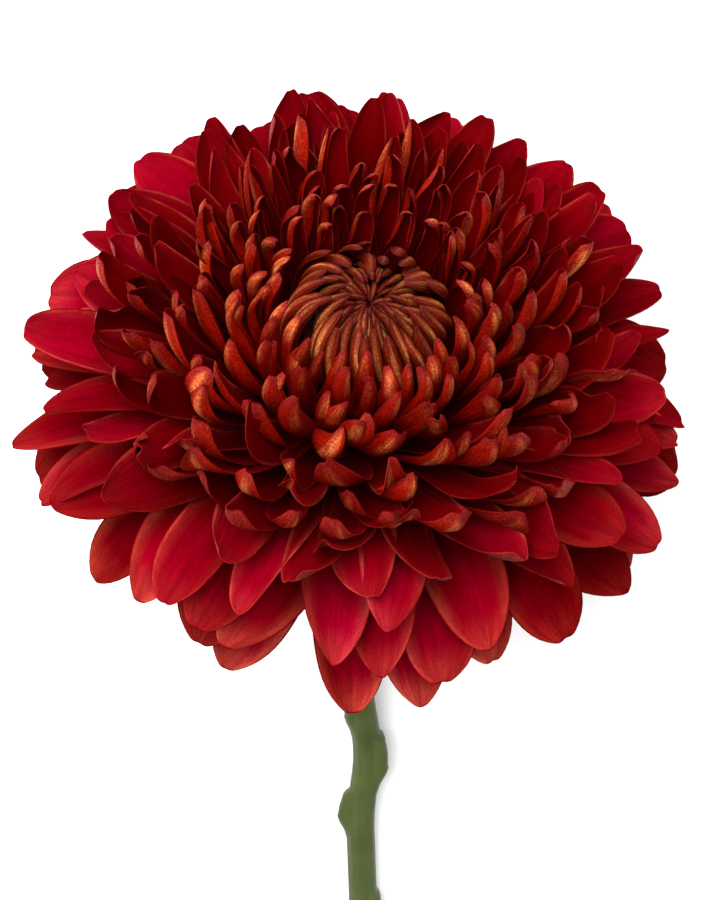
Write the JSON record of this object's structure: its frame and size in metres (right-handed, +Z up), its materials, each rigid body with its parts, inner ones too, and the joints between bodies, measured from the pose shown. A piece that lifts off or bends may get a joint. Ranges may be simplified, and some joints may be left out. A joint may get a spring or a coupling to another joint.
{
  "type": "cut chrysanthemum",
  "caption": "Cut chrysanthemum with one large layered crimson bloom, a bronze heart and a short green stem, lying on its side.",
  "frame": {"origin": "middle of the bounding box at the surface that the flower lies on", "axes": "+Z up from the surface, +Y from the cut end of the stem towards the bloom, whose face looks up and towards +Y"},
  "size_m": [0.1179, 0.1924, 0.0969],
  "materials": {
    "crimson_florets": "velvety petal, crimson above and bronze on the reverse",
    "bronze_florets": "velvety petal, bronze reverse with dark red tips",
    "green_stem": "matt green with a faint grey bloom"
  },
  "bodies": {
    "root": {"ray_florets": "crimson_florets", "heart_florets": "bronze_florets", "stem": "green_stem"}
  },
  "joints": []
}
